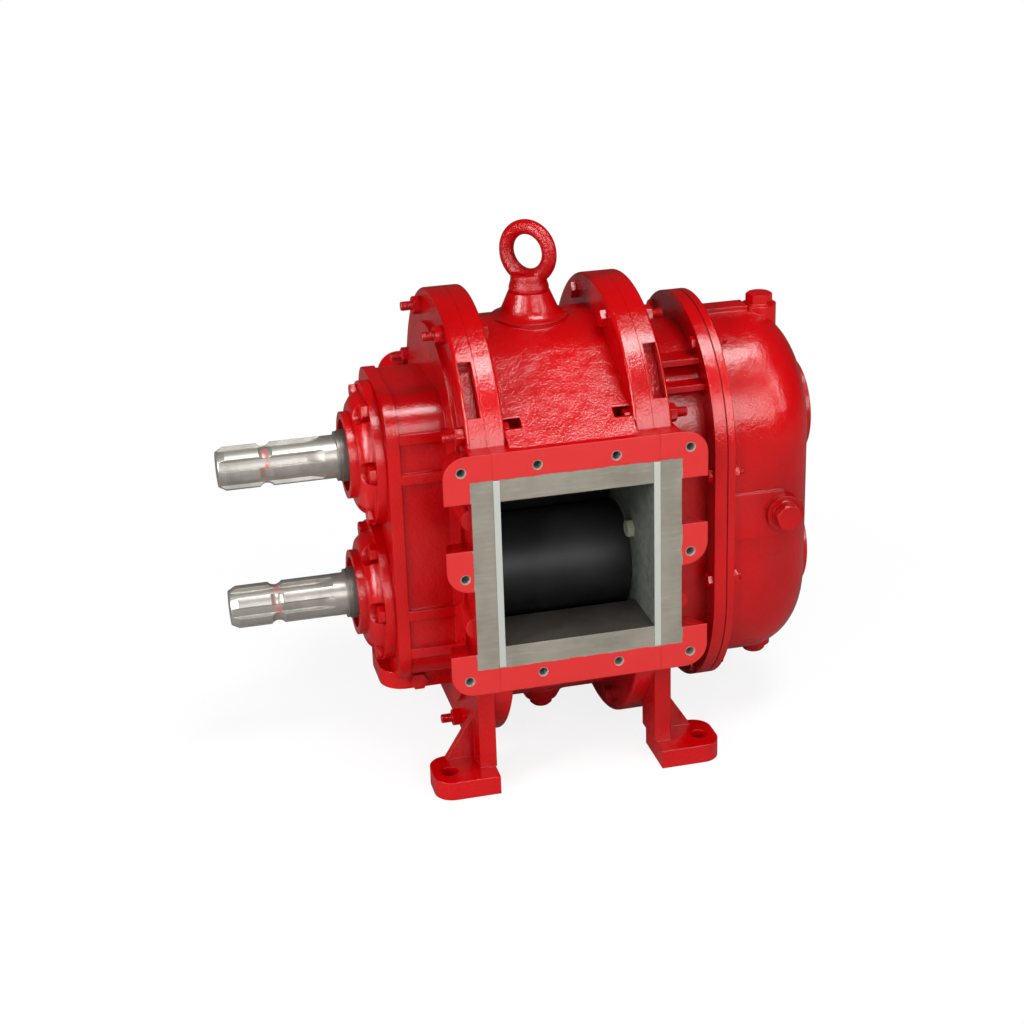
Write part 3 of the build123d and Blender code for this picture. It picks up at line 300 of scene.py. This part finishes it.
slotFinish = {
    "red_paint": paintFinish("castRedEnamel"),
    "shaft_steel": shaftFinish("groundShaftSteel"),
    "plate_steel": plateFinish("hardenedPlate"),
    "zinc_steel": plainSteel("yellowZinc", rgb(222, 218, 196), rgb(186, 182, 158), 0.3, 300.0, None, 0.00003,
                             metal=0.7),
    "rotor_rubber": rubberFinish("rotorRubber", rgb(24, 24, 25), rgb(42, 42, 43), 0.42, 700.0),
    "bearing_steel": plainSteel("bearingSteel", rgb(205, 205, 205), rgb(178, 178, 180), 0.12, 800.0,
                                (1.0, 0.05, 0.05), 0.00001),
    "gear_steel": plainSteel("oiledGearSteel", rgb(140, 138, 132), rgb(98, 92, 82), 0.26, 400.0,
                             (0.1, 1.0, 1.0), 0.00003),
    "seal_iron": plainSteel("lappedSealIron", rgb(112, 112, 112), rgb(84, 84, 84), 0.3, 600.0, None, 0.00001),
    "seal_rubber": rubberFinish("sealRubber", rgb(26, 26, 27), rgb(40, 40, 40), 0.5, 900.0),
    "gasket_paper": rubberFinish("gasketPaper", rgb(96, 16, 16), rgb(60, 20, 18), 0.6, 1200.0),
}
fastenerPaint = paintFinish("fastenerEnamel", 2.6, 0.35)
housingPaint = housingFinish("housingEnamel")
for part in frame["record"]["subparts"]:
    name = part["node"]
    finish = slotFinish[part["material_slot"]]
    if name.endswith("_casing") or name.endswith("_end_shield"):
        finish = housingPaint
    elif part["material_slot"] == "red_paint" and any(w in name for w in ("bolts", "nuts", "screws", "plug")):
        finish = fastenerPaint
    nodes[name].data.materials.clear()
    nodes[name].data.materials.append(finish)


def solidObject(name, bm, material):
    bmesh.ops.recalc_face_normals(bm, faces=bm.faces)
    mesh = bpy.data.meshes.new(name)
    bm.to_mesh(mesh)
    bm.free()
    mesh.materials.append(material)
    obj = bpy.data.objects.new(name, mesh)
    scene.collection.objects.link(obj)
    return obj


def stackRings(bm, rings, closed=True):  # skin over rings of points, each end closed to a middle point
    loops = [[bm.verts.new(p) for p in ring] for ring in rings]
    for low, high in zip(loops, loops[1:]):
        for k in range(len(low)):
            n = (k + 1) % len(low)
            bm.faces.new((low[k], low[n], high[n], high[k]))
    for loop in (loops[0], loops[-1]) if closed else ():
        middle = bm.verts.new(sum((v.co for v in loop), Vector()) / len(loop))
        for k in range(len(loop)):
            bm.faces.new((loop[k], loop[(k + 1) % len(loop)], middle))


def circleRing(radius, height, steps):
    return [(radius * math.cos(math.tau * k / steps), radius * math.sin(math.tau * k / steps), height)
            for k in range(steps)]


hexForm = {"steps": 36, "crown": 0.96, "chamfer": 30, "foot": 0.012, "brim": 0.6, "dish": 0.4}
threadForm = {"steps": 20, "depth": 0.5, "wave": (1, 0.6, 0, 0.6), "end": 0.6, "runOut": 1.3, "point": 0.35,
              "lead": 0.45, "slack": 0.00003, "boreSlack": 0.00004}


def hexRings(flats, height, base=0.0):  # rings of a hexagon with its corners chamfered as on a real head
    steps = hexForm["steps"]
    apothem = flats / 2
    crown = apothem * hexForm["crown"]
    reach = []
    for k in range(steps):
        turn = (math.tau * k / steps) % (math.tau / 6) - math.tau / 12
        reach.append(apothem / math.cos(turn))

    def ring(radii, heights):
        return [(r * math.cos(math.tau * k / steps), r * math.sin(math.tau * k / steps), h)
                for k, (r, h) in enumerate(zip(radii, heights))]
    drop = [height - (r - crown) * math.tan(math.radians(hexForm["chamfer"])) for r in reach]
    foot = flats * hexForm["foot"]
    return [ring([r - foot for r in reach], [base] * steps), ring(reach, [base + foot] * steps),
            ring(reach, drop), ring([crown] * steps, [height] * steps)]


def threadRings(radius, start, end, pitch):  # grooves ring by ring, ending in a small point
    steps, depth = threadForm["steps"], pitch * threadForm["depth"]
    count = max(2, round(abs(end - start) / pitch)) * len(threadForm["wave"])
    rings = []
    for k in range(count):
        wave = threadForm["wave"][k % len(threadForm["wave"])]
        rings.append(circleRing(radius - depth * (1 - wave), start + (end - start) * (k / count), steps))
    rings.append(circleRing(radius - depth * threadForm["end"], end, steps))
    point = end + math.copysign(pitch * threadForm["point"], end - start)
    rings.append(circleRing(radius - depth * threadForm["runOut"], point, steps))
    return rings


def hexBolt(name, spec, material):  # seat at height 0, head up, shank and thread down
    bm = bmesh.new()
    collar, around = spec.get("collar", 0.0), hexForm["steps"]
    brim = spec["flats"] * hexForm["brim"]
    rings = hexRings(spec["flats"], spec["head"], collar)
    if collar:
        rings = [circleRing(brim, 0.0, around), circleRing(brim, collar * 0.7, around),
                 circleRing(brim * 0.97, collar, around)] + rings
    rings.append(circleRing(spec["flats"] * hexForm["dish"], spec["head"] - spec["flats"] * 0.01, around))
    stackRings(bm, rings)
    steps = threadForm["steps"]
    radius = spec["thread"] / 2 - threadForm["slack"]
    tail = -spec["length"] + spec["tail"]
    shank = [circleRing(radius, 0.0002, steps), circleRing(radius, tail, steps)]
    if spec["tail"]:
        tip = -spec["length"] + spec["pitch"] * threadForm["point"]
        shank += threadRings(radius, tail - 0.0001, tip, spec["pitch"])
    stackRings(bm, shank)
    return solidObject(name, bm, material)


def hexNut(name, spec, material):
    bm = bmesh.new()
    rings = hexRings(spec["flats"], spec["nut"])
    steps = hexForm["steps"]
    bore, lead = spec["thread"] / 2 + threadForm["boreSlack"], spec["pitch"] * threadForm["lead"]
    rings += [circleRing(bore + lead, spec["nut"], steps), circleRing(bore, spec["nut"] - lead, steps),
              circleRing(bore, 0.0, steps), rings[0]]
    stackRings(bm, rings, closed=False)
    bmesh.ops.remove_doubles(bm, verts=bm.verts, dist=1e-7)
    return solidObject(name, bm, material)


def fastenerTree():  # sets one fastener on each point, its axis along the point's way, turned at random
    tree = bpy.data.node_groups.new("setFasteners", "GeometryNodeTree")
    io = tree.interface
    io.new_socket("Points", in_out="INPUT", socket_type="NodeSocketGeometry")
    io.new_socket("Fastener", in_out="INPUT", socket_type="NodeSocketObject")
    io.new_socket("Turn Spread", in_out="INPUT", socket_type="NodeSocketFloat")
    io.new_socket("Seed", in_out="INPUT", socket_type="NodeSocketInt")
    io.new_socket("Finish", in_out="INPUT", socket_type="NodeSocketMaterial")
    io.new_socket("Fasteners", in_out="OUTPUT", socket_type="NodeSocketGeometry")

    def node(kind, **settings):
        made = tree.nodes.new(kind)
        for key, value in settings.items():
            setattr(made, key, value)
        return made
    given, result = node("NodeGroupInput"), node("NodeGroupOutput")
    way = node("GeometryNodeInputNamedAttribute", data_type="FLOAT_VECTOR")
    way.inputs["Name"].default_value = "way"
    info = node("GeometryNodeObjectInfo")
    chance = node("FunctionNodeRandomValue", data_type="FLOAT")
    along = node("FunctionNodeAlignEulerToVector", axis="Z")
    spin = node("FunctionNodeRotateEuler", rotation_type="AXIS_ANGLE", space="LOCAL")
    spin.inputs["Axis"].default_value = (0, 0, 1)
    place = node("GeometryNodeInstanceOnPoints")
    real = node("GeometryNodeRealizeInstances")
    paint = node("GeometryNodeSetMaterial")
    link = tree.links.new
    link(given.outputs["Fastener"], info.inputs["Object"])
    link(given.outputs["Turn Spread"], chance.inputs[3])
    link(given.outputs["Seed"], chance.inputs["Seed"])
    link(way.outputs["Attribute"], along.inputs["Vector"])
    link(along.outputs["Rotation"], spin.inputs["Rotation"])
    link(chance.outputs[1], spin.inputs["Angle"])
    link(given.outputs["Points"], place.inputs["Points"])
    link(info.outputs["Geometry"], place.inputs["Instance"])
    link(spin.outputs["Rotation"], place.inputs["Rotation"])
    link(place.outputs["Instances"], real.inputs["Geometry"])
    link(real.outputs["Geometry"], paint.inputs["Geometry"])
    link(given.outputs["Finish"], paint.inputs["Material"])
    link(paint.outputs["Geometry"], result.inputs["Fasteners"])
    return tree


setFasteners = fastenerTree()


def placeFasteners(name, base, seats, seed, material):
    mesh = bpy.data.meshes.new(name + "Seats")
    mesh.from_pydata([seat for seat, way in seats], [], [])
    ways = mesh.attributes.new("way", "FLOAT_VECTOR", "POINT")
    for k, (seat, way) in enumerate(seats):
        ways.data[k].vector = way
    holder = bpy.data.objects.new(name + "Seats", mesh)
    scene.collection.objects.link(holder)
    modifier = holder.modifiers.new("setFasteners", "NODES")
    modifier.node_group = setFasteners
    sixth = math.tau / 6  # a hexagon looks the same after this turn
    values = {"Fastener": base, "Turn Spread": sixth, "Seed": seed, "Finish": material}
    for item in setFasteners.interface.items_tree:
        if item.in_out == "INPUT" and item.name in values:
            modifier[item.identifier] = values[item.name]
    made = bpy.data.meshes.new_from_object(holder.evaluated_get(bpy.context.evaluated_depsgraph_get()))
    made.name = name
    bpy.data.objects.remove(holder)
    obj = bpy.data.objects.new(name, made)
    scene.collection.objects.link(obj)
    return obj


def islands(node):  # lowest and highest corner of each separate solid of a node
    bm = bmesh.new()
    bm.from_mesh(nodes[node].data)
    bmesh.ops.remove_doubles(bm, verts=bm.verts, dist=1e-6)
    seen, boxes = set(), []
    for start in bm.verts:
        if start in seen:
            continue
        stack, low, high = [start], start.co.copy(), start.co.copy()
        seen.add(start)
        while stack:
            vert = stack.pop()
            low, high = Vector(map(min, low, vert.co)), Vector(map(max, high, vert.co))
            for edge in vert.link_edges:
                other = edge.other_vert(vert)
                if other not in seen:
                    seen.add(other)
                    stack.append(other)
        boxes.append((low, high))
    bm.free()
    return boxes


def dress(obj, node):
    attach(obj, "housing")
    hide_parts(node)
    for polygon in obj.data.polygons:
        polygon.use_smooth = True


def sharpen(obj, angle=28):  # smooth shading with the true edges kept
    bm = bmesh.new()
    bm.from_mesh(obj.data)
    for edge in bm.edges:
        if len(edge.link_faces) == 2 and edge.calc_face_angle(0) > math.radians(angle):
            edge.smooth = False
    bm.to_mesh(obj.data)
    bm.free()


# every bolt, screw, nut and oil plug gets a chamfered hexagon, and an end seen past a nut a grooved thread
largeBolt = {"flats": 0.013, "head": 0.0053, "nut": 0.0069, "thread": 0.008, "pitch": 0.00125, "tail": 0.0088}
smallBolt = {"flats": 0.010, "head": 0.004, "nut": 0.0052, "thread": 0.006, "pitch": 0.001, "tail": 0.0088}
blindScrew = dict(largeBolt, tail=0)  # its thread is hidden in the casting
plugs = {
    "fill": {"node": "oil_fill_plug", "way": (0, 0, 1), "flats": 0.019, "head": 0.009, "collar": 0.0015},
    "level": {"node": "oil_level_plug", "way": (0, -1, 0), "flats": 0.020, "head": 0.0095, "collar": 0.0015},
    "drain": {"node": "oil_drain_plug", "way": (0, 0, -1), "flats": 0.017, "head": 0.007, "collar": 0.0015}}


def seatsOf(node, way, depth):  # seat of each solid of a node, the given depth below its end along the way
    seats = []
    axis = max(range(3), key=lambda k: abs(way[k]))
    for low, high in islands(node):
        seat = (low + high) / 2
        seat[axis] = high[axis] - depth if way[axis] > 0 else low[axis] + depth
        seats.append((seat, way, high[axis] - low[axis] - depth))
    return seats


def setOf(name, node, shape, spec, way, depth, seed, finish=None):
    finish = finish or fastenerPaint
    seats = seatsOf(node, way, depth)
    base = shape(name + "Shape", dict(spec, length=seats[0][2]), finish)
    made = placeFasteners(name, base, [seat[:2] for seat in seats], seed, finish)
    sharpen(made)
    dress(made, node)
    bpy.data.objects.remove(base)


for end, sign in (("drive", -1), ("gear", 1)):
    setOf(f"{end}ChamberBolts", f"{end}_chamber_bolts", hexBolt, largeBolt, (-sign, 0, 0), largeBolt["head"],
          4 + sign)
    setOf(f"{end}ChamberNuts", f"{end}_chamber_nuts", hexNut, largeBolt, (sign, 0, 0), largeBolt["nut"],
          8 + sign)
    setOf(f"{end}PlateScrews", f"{end}_wear_plate_screws", hexBolt, blindScrew, (-sign, 0, 0),
          blindScrew["head"], 12 + sign, slotFinish["zinc_steel"])
setOf("gearCaseBolts", "gear_case_bolts", hexBolt, smallBolt, (-1, 0, 0), smallBolt["head"], 15)
setOf("gearCaseNuts", "gear_case_nuts", hexNut, smallBolt, (1, 0, 0), smallBolt["nut"], 16)
setOf("coverScrews", "bearing_cover_screws", hexBolt, blindScrew, (-1, 0, 0), blindScrew["head"], 17)
for k, (name, spec) in enumerate(plugs.items()):
    setOf(name + "Plug", spec["node"], hexBolt, dict(spec, tail=0, thread=spec["flats"] * 0.8), spec["way"],
          spec["head"], 20 + k)
print("fasteners: all bolts, nuts, screws and oil plugs set")

# forged eye: ring on a short round collar, with soft forged shoulders and a plain shank below
eye = {"centre": (0, 0, 0.4018), "ring": 0.0200, "section": 0.0060, "turn": -47.0, "steps": 72, "around": 24,
       "heavyFoot": 0.10, "flat": 0.96, "collarTop": 0.385, "collarFoot": 0.3708, "collarSteps": 48,
       "footRadius": 0.0160, "footHeight": 0.004, "topRadius": 0.0142, "flare": 0.0004, "flareHeight": 0.008,
       "rimIn": 0.0014, "rimDrop": 0.0012, "shank": 0.0059, "shankFoot": 0.353, "voxel": 0.0007,
       "softRounds": 14, "softShare": 0.5, "skinDepth": 2.6}


def eyeObject():
    bm = bmesh.new()
    steps, around = eye["steps"], eye["around"]
    turn = Matrix.Translation(eye["centre"]) @ Matrix.Rotation(math.radians(eye["turn"]), 4, "Z")
    loops = []
    for k in range(steps):
        a = math.tau * k / steps
        section = eye["section"] * (1 + eye["heavyFoot"] * max(0.0, -math.sin(a)))
        loop = []
        for j in range(around):
            b = math.tau * j / around
            reach = eye["ring"] + section * math.cos(b)
            spot = Vector((reach * math.cos(a), section * eye["flat"] * math.sin(b), reach * math.sin(a)))
            loop.append(bm.verts.new(turn @ spot))
        loops.append(loop)
    for k in range(steps):
        for j in range(around):
            low, high, n = loops[k], loops[(k + 1) % steps], (j + 1) % around
            bm.faces.new((low[j], low[n], high[n], high[j]))
    foot, top = eye["collarFoot"], eye["collarTop"]
    outline = [(eye["shank"], eye["shankFoot"]), (eye["shank"], foot), (eye["footRadius"], foot),
               (eye["footRadius"], foot + eye["footHeight"]),
               (eye["topRadius"] + eye["flare"], foot + eye["flareHeight"]),
               (eye["topRadius"], top - eye["rimDrop"]), (eye["topRadius"] - eye["rimIn"], top)]
    stackRings(bm, [circleRing(radius, height, eye["collarSteps"]) for radius, height in outline])
    obj = solidObject("forgedEyeShape", bm, slotFinish["red_paint"])
    remesh = obj.modifiers.new("join", "REMESH")
    remesh.mode, remesh.voxel_size = "VOXEL", eye["voxel"]
    soft = obj.modifiers.new("forge", "SMOOTH")
    soft.iterations, soft.factor = eye["softRounds"], eye["softShare"]
    mesh = bpy.data.meshes.new_from_object(obj.evaluated_get(bpy.context.evaluated_depsgraph_get()))
    bpy.data.objects.remove(obj)
    forged = bpy.data.objects.new("forgedEye", mesh)
    mesh.materials.clear()
    mesh.materials.append(paintFinish("forgedEyeEnamel", depth=eye["skinDepth"]))
    scene.collection.objects.link(forged)
    return forged


dress(eyeObject(), "lifting_eye")
print("eye: forged ring and collar set")

# studio: white ground that keeps the shadow, white air behind, and five soft lamps round the part
studio = {"floorSize": 30.0, "ground": 0.9, "mirrored": 0.15, "air": 0.24, "airMirrored": 0.04,
          "whiteNear": 0.84, "whiteFrom": 0.25, "whiteTo": 0.6}
floorMesh = bpy.data.meshes.new("floor")
half = studio["floorSize"] / 2
corners = [(-half, -half, 0), (half, -half, 0), (half, half, 0), (-half, half, 0)]
floorMesh.from_pydata(corners, [], [(0, 1, 2, 3)])
floor = bpy.data.objects.new("floor", floorMesh)
scene.collection.objects.link(floor)
f = Finish("whiteGround")
x, y = f.axes()[:2]
mirrored = f.add("ShaderNodeLightPath", output="Is Glossy Ray")
pale, dim = ((studio[k],) * 3 + (1,) for k in ("ground", "mirrored"))  # seen by eye, and in the paint
lit = f.add("ShaderNodeBsdfDiffuse", None, {"Color": f.mix(mirrored, pale, dim)})
white = f.add("ShaderNodeEmission", None, {"Color": (1, 1, 1, 1), "Strength": 1.0})
cameraRay = f.add("ShaderNodeLightPath", output="Is Camera Ray")
near = studio["whiteNear"]
away = (x.reach(y).fade(studio["whiteFrom"], studio["whiteTo"]) * (1 - near) + near) * cameraRay
floorMesh.materials.append(f.surface(f.add("ShaderNodeMixShader", None, {0: away, 1: lit, 2: white})))

world = bpy.data.worlds.new("studioAir")
world.use_nodes = True
scene.world = world
air = world.node_tree.nodes
air.clear()
seen = air.new("ShaderNodeLightPath")
dimmer = air.new("ShaderNodeMapRange")
dimmer.inputs["To Min"].default_value = studio["air"]
dimmer.inputs["To Max"].default_value = studio["airMirrored"]
glow, backdrop, choose, out = (air.new(k) for k in ("ShaderNodeBackground", "ShaderNodeBackground",
                                                    "ShaderNodeMixShader", "ShaderNodeOutputWorld"))
join = world.node_tree.links.new
join(seen.outputs["Is Glossy Ray"], dimmer.inputs["Value"])
join(dimmer.outputs[0], glow.inputs["Strength"])
join(seen.outputs["Is Camera Ray"], choose.inputs[0])
join(glow.outputs[0], choose.inputs[1])
join(backdrop.outputs[0], choose.inputs[2])
join(choose.outputs[0], out.inputs["Surface"])
backdrop.inputs["Color"].default_value = (1, 1, 1, 1)
glow.inputs["Color"].default_value = (1, 1, 1, 1)


def lamp(name, place, target, size, power):
    light = bpy.data.lights.new(name, "AREA")
    light.shape = "RECTANGLE"
    light.size, light.size_y = size
    light.energy = power
    obj = bpy.data.objects.new(name, light)
    obj.location = place
    obj.rotation_mode = "QUATERNION"
    obj.rotation_quaternion = (Vector(target) - Vector(place)).to_track_quat("-Z", "Y")
    scene.collection.objects.link(obj)


# each lamp has its place, what it looks at, its two sizes and its watts
lamp("overheadSoftbox", (0.42, -0.56, 2.18), (0, 0, 0.25), (1.2, 0.4), 30)
lamp("frontFill", (0.7, -2.3, 1.1), (0, 0, 0.2), (1.2, 1.1), 25)
lamp("leftSoftbox", (-2.0, -0.9, 1.1), (0, 0, 0.2), (0.6, 1.2), 44)
lamp("leftStrip", (-1.15, -1.75, 1.0), (0, 0, 0.2), (0.11, 1.5), 11)
lamp("rightStrip", (1.5, -1.2, 1.3), (0, 0, 0.2), (0.11, 1.5), 11)

view = {"turn": 13.06, "tilt": 22.31, "roll": 1.97, "lens": 68.51, "place": (-0.35582, -1.44855, 0.79363)}
camera = bpy.data.objects.new("camera", bpy.data.cameras.new("camera"))
camera.data.sensor_width = 36.0
camera.data.lens = view["lens"]
turn, tilt, roll = (math.radians(view[k]) for k in ("turn", "tilt", "roll"))
camera.matrix_world = (Matrix.Translation(view["place"]) @ Matrix.Rotation(-turn, 4, "Z")
                       @ Matrix.Rotation(math.pi / 2 - tilt, 4, "X") @ Matrix.Rotation(-roll, 4, "Z"))
scene.collection.objects.link(camera)
scene.camera = camera
scene.view_settings.view_transform = "Standard"

print("stage: floor, air, lamps and camera set")
